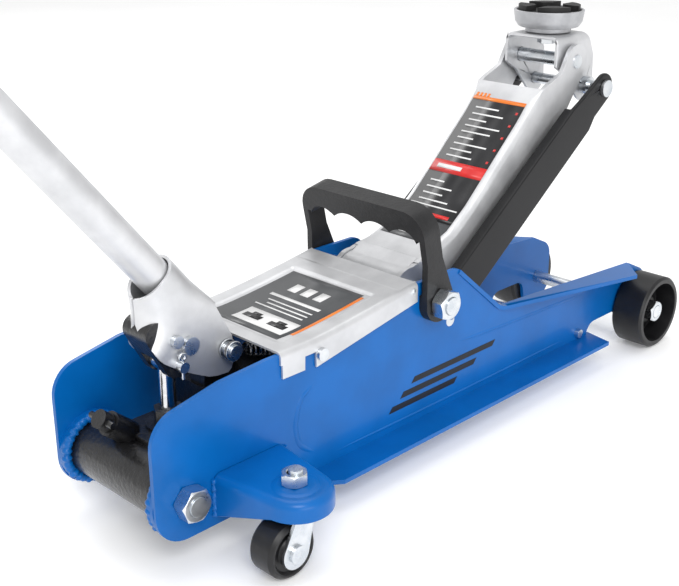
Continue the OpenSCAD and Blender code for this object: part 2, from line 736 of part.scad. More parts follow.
module caster_fork(s) at_origin() color(zinc) on_side(s) translate([0, caster_y, 0]) difference() {
    union() {
        translate([caster_x, 0, 47]) cylinder(r = 16, h = 3);
        translate([caster_x, 0, 49]) cylinder(r = 13, h = 9);
        both_sides() side_slab(fork_y, fork_y + 2.5) {
            strap([caster_axle_x, caster_r], 11.5, [caster_x - 5, 44], 8);
            translate([caster_x - 12, 40]) square([20, 10]);
        }
        translate([caster_x - 12, -fork_y - 1, 47]) cube([20, 2 * fork_y + 2, 3]);
    }
    translate([caster_x, 0, 30]) cylinder(r = 5 + run, h = 40);
    cross_bar([caster_axle_x, caster_r], 4 + run, -30, 30);
}

module caster_fork_right() caster_fork(-1);
module caster_fork_left() caster_fork(1);

module caster_wheel(s) at_origin() color(black) on_side(s) translate([caster_axle_x, caster_y, caster_r])
    rotate([-90, 0, 0]) rotate_extrude() polygon([
        [4 + run, -caster_half_w], [9, -caster_half_w], [11, -caster_half_w + 3], [15, -caster_half_w + 3],
        [17, -caster_half_w], [caster_r - 2.5, -caster_half_w], [caster_r, -caster_half_w + 3],
        [caster_r, caster_half_w - 3], [caster_r - 2.5, caster_half_w], [17, caster_half_w],
        [15, caster_half_w - 3], [11, caster_half_w - 3], [9, caster_half_w], [4 + run, caster_half_w]]);

module caster_wheel_right() caster_wheel(-1);
module caster_wheel_left() caster_wheel(1);

module caster_axle(s) at_origin() color(zinc) on_side(s) translate([0, caster_y, 0]) {
    cross_bar([caster_axle_x, caster_r], 4, -fork_y - 3, fork_y + 3);
    both_sides() cross_bar([caster_axle_x, caster_r], 6.5, fork_y + 2.6, fork_y + 5);
}

module caster_axle_right() caster_axle(-1);
module caster_axle_left() caster_axle(1);

// ---------- carry handle ----------

carry_lean = 12;
carry_top = 79;
finger_top = 62.5;
finger_depth = 6;
finger_r = 24;
carry_depth = 18;
carry_half_w = plate_y + foot_t + clear;
carry_in = plate_y + clear;
finger_pitch = 30;
leg_inset = 2.4;         // past the side flange of the cover
inset_from = 11;
inset_to = 56;

// Front view of the handle: an arch with teeth between the fingers
module carry_outline() {
    difference() {
        polygon(arch(carry_half_w, carry_top, 20, -20));
        polygon(arch(carry_in, finger_top, 14, -30));
    }
    difference() {
        translate([-1.5 * finger_pitch, finger_top - finger_depth]) square([3 * finger_pitch, finger_depth + 1]);
        for (i = [-1.5 : 1.5]) translate([finger_pitch * i, finger_top - finger_r]) circle(finger_r);
    }
}

// Side view: round foot, narrower leg and grip
module carry_side() polygon(concat(arc([0, 0], 16, 165, 375, 24),
    [[carry_depth / 2, 36], [carry_depth / 2, carry_top], [-carry_depth / 2, carry_top], [-carry_depth / 2, 36]]));

module carry_handle() at_origin() color(black) difference() {
    translate([arm_x, 0, arm_z]) rotate([0, -carry_lean, 0]) intersection() {
        rotate([90, 0, 90]) translate([0, 0, -carry_depth]) linear_extrude(2 * carry_depth) carry_outline();
        side_slab(-100, 100) carry_side();
    }
    // the legs stand clear of the cover when folded back
    both_sides() translate([arm_x, carry_in - 1, arm_z]) rotate([0, -carry_lean, 0])
        translate([-50, 0, inset_from]) cube([100, leg_inset + 1, inset_to - inset_from]);
    cross_bar(arm_pivot, 7 + run, -100, 100);
}

// ---------- nodes ----------

side_plate_right();
side_plate_left();
caster_bracket_right();
caster_bracket_left();
front_axle();
front_axle_nuts();
cross_rod();
pump_block();
trunnion_bolts();
trunnion_nuts();
ram_cylinder();
cylinder_cap();
pump_gland();
filler_plug();
fulcrum_pin();
fulcrum_clips();
top_cover();
cover_screws();
arm_shaft();
arm_shaft_nuts();
link_anchor_pins();
caster_bolts();
caster_nuts();
return_spring_right();
return_spring_left();
ram();
ram_head();
spring_pin();
lift_arm();
arm_hub();
crank_pin();
link();
saddle_bracket();
bracket_pin();
link_top_pin();
link_top_clips();
saddle();
saddle_pad();
saddle_bolt();
handle_socket();
pump_lever();
plunger_pin();
plunger_cotter();
socket_bolts();
plunger();
release_valve();
valve_cross_pin();
handle_lower();
handle_upper();
handle_grip();
handle_button();
front_wheel_right();
front_wheel_left();
caster_fork_right();
caster_fork_left();
caster_wheel_right();
caster_wheel_left();
caster_axle_right();
caster_axle_left();
carry_handle();
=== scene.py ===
import json
import math

import bmesh
import bpy
from mathutils import Matrix, Vector


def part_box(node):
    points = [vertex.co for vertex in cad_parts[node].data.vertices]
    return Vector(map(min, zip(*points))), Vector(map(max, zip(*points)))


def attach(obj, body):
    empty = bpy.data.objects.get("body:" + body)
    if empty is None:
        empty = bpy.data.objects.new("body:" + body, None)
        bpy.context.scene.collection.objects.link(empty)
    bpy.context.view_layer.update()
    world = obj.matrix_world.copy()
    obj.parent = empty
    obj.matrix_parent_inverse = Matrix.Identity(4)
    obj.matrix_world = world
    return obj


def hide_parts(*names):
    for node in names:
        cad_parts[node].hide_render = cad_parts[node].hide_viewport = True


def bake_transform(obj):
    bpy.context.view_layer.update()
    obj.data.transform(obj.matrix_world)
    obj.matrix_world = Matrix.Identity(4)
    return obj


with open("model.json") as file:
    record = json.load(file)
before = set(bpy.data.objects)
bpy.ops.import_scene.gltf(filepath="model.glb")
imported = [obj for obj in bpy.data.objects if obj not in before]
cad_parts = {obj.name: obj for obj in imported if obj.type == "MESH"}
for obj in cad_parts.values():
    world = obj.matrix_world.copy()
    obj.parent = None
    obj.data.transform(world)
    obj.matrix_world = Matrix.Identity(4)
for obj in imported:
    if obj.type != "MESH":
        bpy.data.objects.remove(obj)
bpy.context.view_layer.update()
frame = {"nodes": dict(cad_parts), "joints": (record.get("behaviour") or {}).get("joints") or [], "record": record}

# ---------- places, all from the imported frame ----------

MM = 0.001
NODES = frame["nodes"]
JOINTS = {j["name"]: j for j in frame["joints"]}
SLOT_OF = {p["node"]: p["material_slot"] for p in frame["record"]["subparts"]}

PIVOT = Vector(JOINTS["arm_lift"]["pos_m"])
FULCRUM = Vector(JOINTS["handle_pump"]["pos_m"])
BRACKET = Vector(JOINTS["saddle_level"]["pos_m"])
ARM_STATION = 274.0                     # the arm pivot's station in the CAD source
ARM_ANGLE = math.atan2(BRACKET.z - PIVOT.z, BRACKET.x - PIVOT.x)
PLATE_FACE = 58.0                       # outer face of the side plates, from the centre plane


def at(x, y, z):
    """A point from a station, a distance to the left and a height, all in mm."""
    return Vector((PIVOT.x + (x - ARM_STATION) * MM, y * MM, z * MM))


def on_arm(along, y, up):
    """A point drawn along the lifting arm from its pivot, in mm."""
    c, s = math.cos(ARM_ANGLE), math.sin(ARM_ANGLE)
    return PIVOT + Vector((along * c - up * s, y, along * s + up * c)) * MM


SIDES = ((-1, "right"), (1, "left"))

# ---------- materials ----------

GRAIN_DEPTH, LUMP_DEPTH = 0.2, 0.6      # in mm, of the bump layers


def material(name, **sockets):
    """A Principled material. Returns it with its node tree and shader."""
    m = bpy.data.materials.new(name)
    m.use_nodes = True
    tree = m.node_tree
    shader = tree.nodes["Principled BSDF"]
    for key, value in sockets.items():
        shader.inputs[key.replace("_", " ")].default_value = value
    return m, tree, shader


def coords(tree):
    return tree.nodes.new("ShaderNodeTexCoord").outputs["Object"]


def noise(tree, scale, detail=3.0, stretch=None):
    n = tree.nodes.new("ShaderNodeTexNoise")
    n.inputs["Scale"].default_value = scale
    n.inputs["Detail"].default_value = detail
    source = coords(tree)
    if stretch:
        mapping = tree.nodes.new("ShaderNodeMapping")
        mapping.inputs["Scale"].default_value = stretch
        tree.links.new(source, mapping.inputs["Vector"])
        source = mapping.outputs["Vector"]
    tree.links.new(source, n.inputs["Vector"])
    return n.outputs["Fac"]


def blend_colours(tree, shader, fac, low, high, lo=0.35, hi=0.65):
    ramp = tree.nodes.new("ShaderNodeValToRGB")
    ramp.color_ramp.elements[0].position = lo
    ramp.color_ramp.elements[1].position = hi
    ramp.color_ramp.elements[0].color = (*low, 1)
    ramp.color_ramp.elements[1].color = (*high, 1)
    tree.links.new(fac, ramp.inputs["Fac"])
    tree.links.new(ramp.outputs["Color"], shader.inputs["Base Color"])


def vary_roughness(tree, shader, fac, low, high):
    r = tree.nodes.new("ShaderNodeMapRange")
    r.inputs["To Min"].default_value = low
    r.inputs["To Max"].default_value = high
    tree.links.new(fac, r.inputs["Value"])
    tree.links.new(r.outputs["Result"], shader.inputs["Roughness"])


def bump(tree, shader, *layers):
    """Layers of (height, strength, distance in mm), each on top of the one before."""
    last = None
    for height, strength, depth in layers:
        b = tree.nodes.new("ShaderNodeBump")
        b.inputs["Strength"].default_value = strength
        b.inputs["Distance"].default_value = depth * MM
        tree.links.new(height, b.inputs["Height"])
        if last:
            tree.links.new(last, b.inputs["Normal"])
        last = b.outputs["Normal"]
    tree.links.new(last, shader.inputs["Normal"])


def finish_surface(name, low, high, rough, colour_scale, grain, grain_bump, lumps=None, stretch=None,
        **sockets):
    """Colour and roughness that vary softly, with a fine grain and, if wanted, larger lumps."""
    m, tree, shader = material(name, **sockets)
    broad = noise(tree, colour_scale, 4, stretch)
    fine = noise(tree, grain, 2, stretch)
    blend_colours(tree, shader, broad, low, high)
    vary_roughness(tree, shader, broad, *rough)
    layers = [(fine, grain_bump, GRAIN_DEPTH)]
    if lumps:
        layers.insert(0, (noise(tree, lumps[0], 3), lumps[1], LUMP_DEPTH))
    bump(tree, shader, *layers)
    return m


MATERIALS = {
    "blue_paint": finish_surface("blue_paint", (0.0, 0.098, 0.35), (0.0, 0.118, 0.42), (0.26, 0.38),
        22, 900, 0.05, lumps=(140, 0.03), Specular_IOR_Level=0.24, Coat_Weight=0.10, Coat_Roughness=0.10),
    "silver_paint": finish_surface("silver_paint", (0.56, 0.565, 0.58), (0.66, 0.665, 0.68), (0.34, 0.46),
        45, 2200, 0.16, lumps=(420, 0.05), Metallic=0.62, Coat_Weight=0.12, Coat_Roughness=0.25),
    "black_paint": finish_surface("black_paint", (0.004, 0.004, 0.005), (0.008, 0.008, 0.009), (0.36, 0.48),
        35, 1100, 0.10, Specular_IOR_Level=0.26, Coat_Weight=0.06, Coat_Roughness=0.2),
    "black_casting": finish_surface("black_casting", (0.003, 0.003, 0.0035), (0.012, 0.012, 0.013),
        (0.22, 0.42), 60, 900, 0.9, lumps=(300, 1.0), Specular_IOR_Level=0.5, Coat_Weight=0.3,
        Coat_Roughness=0.12),
    "silver_cast": finish_surface("silver_cast", (0.36, 0.365, 0.38), (0.47, 0.475, 0.49), (0.36, 0.50),
        60, 1300, 0.45, lumps=(300, 0.5), Metallic=0.55),
    "zinc": finish_surface("zinc", (0.58, 0.62, 0.66), (0.74, 0.76, 0.78), (0.20, 0.36),
        90, 1600, 0.10, Metallic=1.0),
    "polished_rod": finish_surface("polished_rod", (0.60, 0.60, 0.62), (0.72, 0.72, 0.73), (0.08, 0.18),
        60, 1800, 0.04, stretch=(1, 1, 6), Metallic=1.0),
    "spring_steel": finish_surface("spring_steel", (0.16, 0.16, 0.165), (0.26, 0.26, 0.265), (0.18, 0.30),
        120, 1400, 0.08, Metallic=1.0),
    "wheel_nylon": finish_surface("wheel_nylon", (0.005, 0.005, 0.006), (0.012, 0.012, 0.013), (0.32, 0.46),
        50, 1300, 0.12, Specular_IOR_Level=0.4),
    "black_plastic": finish_surface("black_plastic", (0.008, 0.008, 0.009), (0.016, 0.016, 0.017),
        (0.40, 0.52), 60, 1100, 0.75, lumps=(330, 0.35), Specular_IOR_Level=0.4),
    "black_rubber": finish_surface("black_rubber", (0.006, 0.006, 0.006), (0.016, 0.016, 0.016),
        (0.50, 0.72), 70, 1200, 0.35, Specular_IOR_Level=0.35),
    "label_black": finish_surface("label_black", (0.010, 0.010, 0.011), (0.018, 0.018, 0.020), (0.24, 0.34),
        40, 1500, 0.03, Specular_IOR_Level=0.35),
    "label_grey": finish_surface("label_grey", (0.060, 0.063, 0.067), (0.085, 0.088, 0.092), (0.28, 0.38),
        40, 1500, 0.03, Specular_IOR_Level=0.35),
    "label_white": finish_surface("label_white", (0.70, 0.70, 0.70), (0.78, 0.78, 0.78), (0.30, 0.40),
        50, 1500, 0.03),
    "label_red": finish_surface("label_red", (0.55, 0.012, 0.012), (0.66, 0.02, 0.016), (0.28, 0.38),
        50, 1500, 0.03),
    "label_orange": finish_surface("label_orange", (0.72, 0.16, 0.01), (0.82, 0.22, 0.02), (0.28, 0.38),
        50, 1500, 0.03),
    "print_navy": finish_surface("print_navy", (0.002, 0.003, 0.006), (0.004, 0.006, 0.012), (0.28, 0.38),
        50, 1500, 0.03, Specular_IOR_Level=0.3),
}

# ---------- mesh helpers ----------


def new_piece(name, bm, mat, body=None, bevel=0.0, smooth=35.0, segments=2, solid=0.0):
    bmesh.ops.recalc_face_normals(bm, faces=bm.faces)
    mesh = bpy.data.meshes.new(name)
    bm.to_mesh(mesh)
    bm.free()
    for p in mesh.polygons:
        p.use_smooth = True
    mesh.set_sharp_from_angle(angle=math.radians(smooth))
    o = bpy.data.objects.new(name, mesh)
    bpy.context.scene.collection.objects.link(o)
    mesh.materials.append(MATERIALS[mat])
    if solid:
        thick = o.modifiers.new("Solidify", "SOLIDIFY")
        thick.thickness = solid * MM
        thick.offset = -1
        thick.use_even_offset = True
    if bevel:
        soften(o, bevel, segments)
    if body:
        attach(o, body)
    return o


def soften(o, width, segments=2, angle=38.0):
    """Rounded edges of the given width in mm, with normals weighted by face."""
    b = o.modifiers.new("Bevel", "BEVEL")
    b.width = width * MM
    b.segments = segments
    b.limit_method = "ANGLE"
    b.angle_limit = math.radians(angle)
    b.harden_normals = False
    w = o.modifiers.new("WeightedNormal", "WEIGHTED_NORMAL")
    w.keep_sharp = True


def prism(bm, points, shift):
    """A closed solid from a ring of points, pushed along a vector."""
    base = [bm.verts.new(p) for p in points]
    top = [bm.verts.new(Vector(p) + Vector(shift)) for p in points]
    bm.faces.new(base[::-1])
    bm.faces.new(top)
    n = len(base)
    for i in range(n):
        bm.faces.new((base[i], base[(i + 1) % n], top[(i + 1) % n], top[i]))


def join_rows(bm, rows):
    """Faces between each row of points and the next; all rows are equally long."""
    for a, b in zip(rows, rows[1:]):
        for i in range(len(a) - 1):
            bm.faces.new((a[i], a[i + 1], b[i + 1], b[i]))


def sweep(bm, path, radius, sides=10, closed=False):
    """A round tube along a path, with the radius constant or given for each point."""
    n = len(path)
    rings = []
    side = None
    for i, p in enumerate(path):
        a = path[(i - 1) % n] if closed or i else p
        b = path[(i + 1) % n] if closed or i < n - 1 else p
        t = (Vector(b) - Vector(a)).normalized()
        if side is None:
            side = t.orthogonal().normalized()
        side = (side - t * side.dot(t)).normalized()
        other = t.cross(side)
        r = radius[i] if isinstance(radius, list) else radius
        rings.append([bm.verts.new(Vector(p) + (side * math.cos(k) + other * math.sin(k)) * r)
            for k in (2 * math.pi * j / sides for j in range(sides))])
    for i in range(n if closed else n - 1):
        a, b = rings[i], rings[(i + 1) % n]
        shift = 0
        if closed and i == n - 1:
            shift = min(range(sides), key=lambda s: (a[0].co - b[s].co).length)
        for j in range(sides):
            bm.faces.new((a[j], a[(j + 1) % sides], b[(j + 1 + shift) % sides], b[(j + shift) % sides]))
    if not closed:
        bm.faces.new(rings[0][::-1])
        bm.faces.new(rings[-1])


def lathe(bm, profile, centre, axis, segments=64):
    """A closed ring profile of (radius, height) in mm turned about an axis."""
    turn = Vector(axis).to_track_quat("Z", "Y").to_matrix()
    rings = []
    for r, h in profile:
        if r == 0:
            rings.append([bm.verts.new(centre + turn @ Vector((0, 0, h * MM)))])
        else:
            rings.append([bm.verts.new(centre + turn @ (Vector((r * math.cos(k), r * math.sin(k), h)) * MM))
                for k in (2 * math.pi * j / segments for j in range(segments))])
    for a, b in zip(rings, rings[1:] + rings[:1]):
        for j in range(segments):
            k = (j + 1) % segments
            corners = [a[j % len(a)], a[k % len(a)], b[k % len(b)], b[j % len(b)]]
            corners = list(dict.fromkeys(corners))
            if len(corners) > 2:
                bm.faces.new(corners)


# ---------- CAD nodes that stay ----------

EDGE = {          # width in mm of the rounded edges
    "side_plate_right": 1.1, "side_plate_left": 1.1, "pump_block": 1.4, "arm_hub": 0.8, "link": 1.2,
    "saddle_bracket": 0.9, "pump_lever": 1.6, "carry_handle": 3.0, "saddle": 0.6, "saddle_pad": 0.9,
    "ram_cylinder": 0.8,
}


PLAIN_EDGE = 0.35


def dress(name, o):
    o.data.materials.clear()
    o.data.materials.append(MATERIALS[SLOT_OF[name]])
    weld = o.modifiers.new("Weld", "WELD")
    weld.merge_threshold = 0.00001
    for p in o.data.polygons:
        p.use_smooth = True
    soften(o, EDGE.get(name, PLAIN_EDGE))


for cad_name, cad_object in NODES.items():
    dress(cad_name, cad_object)

# ---------- return springs ----------


def return_spring(side, label):
    """A close coil between the socket pivot pin and the pin on the ram, with a hook at each end."""
    rear = FULCRUM + Vector((13, side * 22, -3)) * MM
    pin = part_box("spring_pin")
    pin_x = (pin[0].x + pin[1].x) / 2
    pin_z = (pin[0].z + pin[1].z) / 2
    front = Vector((pin_x - 8 * MM, side * 36 * MM, pin_z + 1.5 * MM))
    line = front - rear
    across = line.orthogonal().normalized()
    other = line.normalized().cross(across)
    turns, per_turn, coil, wire = 34, 14, 4.5 * MM, 0.95 * MM
    path = []
    for i in range(turns * per_turn + 1):
        a = 2 * math.pi * i / per_turn
        along = line * (i / (turns * per_turn))
        path.append(rear + along + (across * math.cos(a) + other * math.sin(a)) * coil)
    bm = bmesh.new()
    sweep(bm, path, wire, 8)
    hook_r = 6.2 * MM
    ram_pin = Vector((pin_x, 0, pin_z))
    for pin_at, end, start in ((FULCRUM, rear, math.radians(-20)), (ram_pin, front, math.pi)):
        ring = [Vector((pin_at.x, end.y, pin_at.z)) + Vector((math.cos(a), 0, math.sin(a))) * hook_r
            for a in (start + 2 * math.pi * k / 22 for k in range(20))]
        sweep(bm, [end] + ring, wire, 8)
    o = new_piece(f"return_spring_coil_{label}", bm, "spring_steel")
    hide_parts(f"return_spring_{label}")
    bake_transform(o)


for spring_side, spring_label in SIDES:
    return_spring(spring_side, spring_label)

# ---------- hexagon nuts and bolt ends ----------


def hex_nut(bm, base, axis, flats, height, bore, turn=0.0):
    """A nut whose corners are cut back at both ends by a cone, with a chamfered bore."""
    steps = 72
    flat = flats / 2
    circle = flat * 0.97
    lead = 0.6
    frame_of = Vector(axis).to_track_quat("Z", "Y").to_matrix()

    def point(r, a, h):
        return Vector(base) + frame_of @ Vector((r * math.cos(a), r * math.sin(a), h)) * MM

    rings = [[] for _ in range(8)]
    for i in range(steps):
        a = 2 * math.pi * i / steps + turn
        off = (a - turn + math.pi / 6) % (math.pi / 3) - math.pi / 6
        r = flat / math.cos(off)
        drop = (r - circle) * math.tan(math.radians(30))
        levels = ((bore, lead), (bore + lead, 0), (circle, 0), (r, drop),
            (r, height - drop), (circle, height), (bore + lead, height), (bore, height - lead))
        for ring, (radius, h) in zip(rings, levels):
            ring.append(bm.verts.new(point(radius, a, h)))
    for k in range(len(rings)):
        a, b = rings[k], rings[(k + 1) % len(rings)]
        for i in range(steps):
            j = (i + 1) % steps
            bm.faces.new((a[i], a[j], b[j], b[i]))


def thread_end(bm, start, axis, radius, length):
    """The end of a bolt: a few thread crests and a chamfer."""
    pitch, depth = 1.6, 0.55
    profile = [(0, 0), (radius, 0)]
    h = 0.5
    while h + pitch < length - 1.2:
        profile += [(radius, h), (radius - depth, h + pitch / 2), (radius, h + pitch)]
        h += pitch
    profile += [(radius, length - 1.0), (radius - 1.0, length), (radius * 0.45, length)]
    profile += [(radius * 0.40, length - 0.5), (0, length - 0.5)]
    clean = [p for i, p in enumerate(profile) if i == 0 or p != profile[i - 1]]
    lathe(bm, clean, Vector(start), axis, 40)


def centre_of(node):
    lo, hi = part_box(node)
    return (lo + hi) / 2


def side_nuts(node, flats, thickness, bore, body, bolt_node, turn=0.0):
    """Detailed nuts and bolt ends on both sides of the jack in place of one node of plain nuts."""
    lo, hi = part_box(node)
    mid = (lo + hi) / 2
    bm = bmesh.new()
    bolt_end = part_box(bolt_node)[1].y / MM
    outer = hi.y / MM
    for side, _ in SIDES:
        base = Vector((mid.x, side * (outer - thickness) * MM, mid.z))
        hex_nut(bm, base, (0, side, 0), flats, thickness, bore, turn)
    o = new_piece(f"{node}_hex", bm, "zinc", body, smooth=28)
    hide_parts(node)
    bm = bmesh.new()
    for side, _ in SIDES:
        thread_end(bm, (mid.x, side * (outer - thickness - 0.5) * MM, mid.z), (0, side, 0), bore - 0.05,
            bolt_end - outer + thickness + 0.45)
    new_piece(f"{node}_thread_ends", bm, "zinc", body, smooth=35)


side_nuts("trunnion_nuts", 22, 11.3, 7.05, "frame", "trunnion_bolts", 0.35)
side_nuts("arm_shaft_nuts", 22, 11, 7.05, "frame", "arm_shaft", 0.2)
side_nuts("front_axle_nuts", 19, 9.5, 6.05, "frame", "front_axle", 0.1)


def caster_nuts():
    lo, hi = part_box("caster_nuts")
    bm = bmesh.new()
    flats, height = 17, 8.5
    half = flats / math.sqrt(3) * MM
    for y in (lo.y + half, hi.y - half):
        hex_nut(bm, Vector(((lo.x + hi.x) / 2, y, lo.z)), (0, 0, 1), flats, height, 5.05, 0.3)
    o = new_piece("caster_nuts_hex", bm, "zinc", "frame", smooth=28)
    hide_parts("caster_nuts")


caster_nuts()

# ---------- caster brackets ----------

CASTER_X, CASTER_Y, CASTER_TOP = 79.0, 107.5, 61.5
BRACKET_REAR, BRACKET_FRONT, NOSE_R = 48, 114, 26
SKIRT_LOW, SKIRT_HIGH = 29.0, 46.0       # lower edge of the skirt at the plate and at the nose


def hull_plan(radius, x0, x1, y0, count=26):
    """The outline of a nose circle joined to a straight edge along the plate, counted from the rear."""
    cx, cy = CASTER_X + 1, CASTER_Y - 0.5
    points = []
    tangents = []
    for x, sign in ((x0, 1), (x1, -1)):
        dx, dy = x - cx, y0 - cy
        reach = math.hypot(dx, dy)
        tangents.append(math.atan2(dy, dx) - sign * math.acos(radius / reach))
    start, stop = tangents[0], tangents[1]
    while stop > start:
        stop -= 2 * math.pi
    points.append((x0, y0))
    points += [(cx + radius * math.cos(a), cy + radius * math.sin(a))
        for a in (start + (stop - start) * i / count for i in range(count + 1))]
    points.append((x1, y0))
    return points


def caster_bracket(side, label):
    """A pressed cup with a round shoulder, a skirt shallower at its nose, and a raised ring."""
    shoulder = 6.5
    steps = 7
    rows = []
    y0 = PLATE_FACE + 0.15

    def skirt(y):
        rise = (y - y0) * (SKIRT_HIGH - SKIRT_LOW) / 36
        return max(SKIRT_LOW, min(SKIRT_HIGH, SKIRT_LOW + rise))

    def row(inset, z):
        plan = hull_plan(NOSE_R - inset, BRACKET_REAR + inset, BRACKET_FRONT - inset, y0)
        return [(x, y, z if z is not None else skirt(y)) for x, y in plan]

    rows.append(row(0, None))
    rows.append([(x, y, (skirt(y) + CASTER_TOP - shoulder) / 2) for x, y, _ in rows[0]])
    for i in range(steps + 1):
        a = math.pi / 2 * i / steps
        rows.append(row(shoulder * (1 - math.cos(a)), CASTER_TOP - shoulder * (1 - math.sin(a))))
    bm = bmesh.new()
    rings = [[bm.verts.new(at(x, side * y, z)) for x, y, z in r] for r in rows]
    join_rows(bm, rings)
    bm.faces.new(rings[-1])
    if side > 0:
        bmesh.ops.reverse_faces(bm, faces=bm.faces)
    node = f"caster_bracket_{label}"
    o = new_piece(f"{node}_pressing", bm, "blue_paint", "frame", bevel=0.9,
        smooth=30, solid=3.0)
    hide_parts(node)
    bm = bmesh.new()
    lathe(bm, [(5.2, -2), (17.5, -2), (17.5, -0.3), (16.2, 0.15), (14.2, 0.95), (12.4, 1.0), (5.2, 1.0)],
        at(CASTER_X, side * CASTER_Y, CASTER_TOP), (0, 0, 1), 64)
    new_piece(f"{node}_ring", bm, "blue_paint", "frame", smooth=40)


for bracket_side, bracket_label in SIDES:
    caster_bracket(bracket_side, bracket_label)

# ---------- weld beads ----------


def bead(name, path, radius, wave=5.0, closed=False):
    """A weld bead: ripples along its length and a slightly uneven width."""
    bm = bmesh.new()
    lengths = [0.0]
    for a, b in zip(path, path[1:]):
        lengths.append(lengths[-1] + (Vector(b) - Vector(a)).length / MM)
    ripple, wander = 0.16, 0.12
    radii = [radius * MM * (1 + ripple * math.sin(d * 2 * math.pi / wave) + wander * math.sin(d * 0.9 + 1.3))
        for d in lengths]
    sweep(bm, path, radii, 12, closed)
    new_piece(name, bm, "blue_paint", "frame", smooth=60)


def ring_path(centre, y, radius, a0=0.0, a1=360.0, count=150):
    return [centre + Vector((radius * math.cos(a), 0, radius * math.sin(a))) * MM + Vector((0, y * MM, 0))
        for a in (math.radians(a0 + (a1 - a0) * i / count) for i in range(count))]


def weld_side(side, label):
    """The bead round the cast tube and the two beads of the caster bracket."""
    tube_y, tube_r, tube_bead, plate_bead = 49.6, 24.2, 3.3, 2.1
    bead_from, bead_step, bead_points = 30, 0.5, 58
    trunnion = centre_of("trunnion_bolts")
    ring = ring_path(Vector((trunnion.x, 0, trunnion.z)), side * tube_y, tube_r)
    bead(f"trunnion_weld_{label}", ring, tube_bead, closed=True)
    for x, end in ((BRACKET_REAR + 0.6, "rear"), (BRACKET_FRONT - 0.6, "front")):
        path = [at(x, side * (PLATE_FACE + 0.6), bead_from + bead_step * i) for i in range(bead_points)]
        bead(f"bracket_weld_{label}_{end}", path, plate_bead)


for weld_at, weld_label in SIDES:
    weld_side(weld_at, weld_label)

# ---------- rougher cast pieces ----------

for cast_node in ("saddle", "arm_hub"):
    NODES[cast_node].data.materials[0] = MATERIALS["silver_cast"]

# ---------- top cover ----------

COVER_SIDE, COVER_T = 60.1, 1.8           # outer half width and sheet thickness
COVER_REAR, COVER_END = 111, 254          # stations of its two ends
PANEL_SINK, BAND_SINK = 1.3, 0.7          # depths of the label panel and of the front band
RIM_X = (122, 125)                        # stations over which the panel's rear rim falls
RIM_FRONT_X = (219, 222)
RIM_Y = (43, 46)
BAND_X = (235, 237.5)
SHEET_T = 0.06                            # thickness of every label sheet
SHEET_STEP, ARM_SHEET_STEP = 5, 4         # most length of one face along a sheet
BASE_LIFT, MARK_LIFT, TOP_LIFT = 0.14, 0.26, 0.36


def smooth_step(x, a, b):
    t = max(0.0, min(1.0, (x - a) / (b - a)))
    return t * t * (3 - 2 * t)


def cover_top(x):
    """Height of the cover's upper face over a station, as in the CAD source, in mm."""
    rear_z, rise, rise_from, rise_over, gap = 129.5, 14, 140, 114, 0.4
    return rear_z + rise * max(0.0, (x - rise_from) / rise_over) ** 1.3 + gap + COVER_T


def cover_sink(x, y):
    """How far the recessed panel and the front step lie below the upper face, in mm."""
    panel = smooth_step(x, *RIM_X) * (1 - smooth_step(x, *RIM_FRONT_X)) * (1 - smooth_step(abs(y), *RIM_Y))
    return PANEL_SINK * panel + BAND_SINK * smooth_step(x, *BAND_X)


def cover_flange(x):
    """Height of the lower edge of the cover's side flange."""
    tab_rear, tab_front, slope_from = 112.5, 134, 145
    if x < tab_rear or tab_front < x < slope_from:
        return 122.0
    if x <= tab_front:
        return 111.5
    return 110 + (x - slope_from) * 19.5 / (COVER_END - slope_from)


def top_cover():
    corner = 4.5
    # close together at the rear tab, the rims of the panel and the step of the front band
    stations = [COVER_REAR, 112.4, 112.6, 117, *range(121, 127), 130, 133.9, 134.1, 139, 144.9, 145.1]
    stations += [*range(150, 211, 10), *range(217, 224), 228, *range(234, 239), 245, 251, COVER_END]
    across = [55, 50, *range(47, 41, -1), 30, 15, 0]
    across += [-y for y in across[-2::-1]]
    bm = bmesh.new()
    rows = []
    for x in stations:
        top = cover_top(x)
        section = [(COVER_SIDE, cover_flange(x)), (COVER_SIDE, top - corner - 0.5)]
        section += [(COVER_SIDE - corner * (1 - math.cos(a)), top - corner * (1 - math.sin(a)))
            for a in (math.pi / 2 * k / 6 for k in range(6))]
        section += [(y, top - cover_sink(x, y)) for y in across]
        section += [(-y, z) for y, z in reversed(section[:8])]
        rows.append([bm.verts.new(at(x, y, z)) for y, z in section])
    join_rows(bm, rows)
    o = new_piece("top_cover_pressing", bm, "silver_paint", "frame", bevel=0.3, smooth=32,
        solid=COVER_T)
    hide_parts("top_cover")
    bm = bmesh.new()
    head = [(0, -0.5), (2.4, -0.5), (2.4, 0.1), (1.6, 0.35), (0, 0.42)]
    for side, _ in SIDES:
        lathe(bm, head, at(249, side * COVER_SIDE, 139.5), (0, side, 0), 24)
    new_piece("top_cover_rivets", bm, "zinc", "frame", smooth=50)


def cover_panel(name, x0, x1, y0, y1, lift, mat):
    """A thin sheet that follows the floor of the cover's label panel."""
    bm = bmesh.new()
    count = max(1, int((x1 - x0) / SHEET_STEP))
    rows = []
    for i in range(count + 1):
        x = x0 + (x1 - x0) * i / count
        rows.append([bm.verts.new(at(x, y, cover_top(x) - PANEL_SINK + lift)) for y in (y0, y1)])
    join_rows(bm, rows)
    new_piece(name, bm, mat, "frame", smooth=30, solid=SHEET_T)


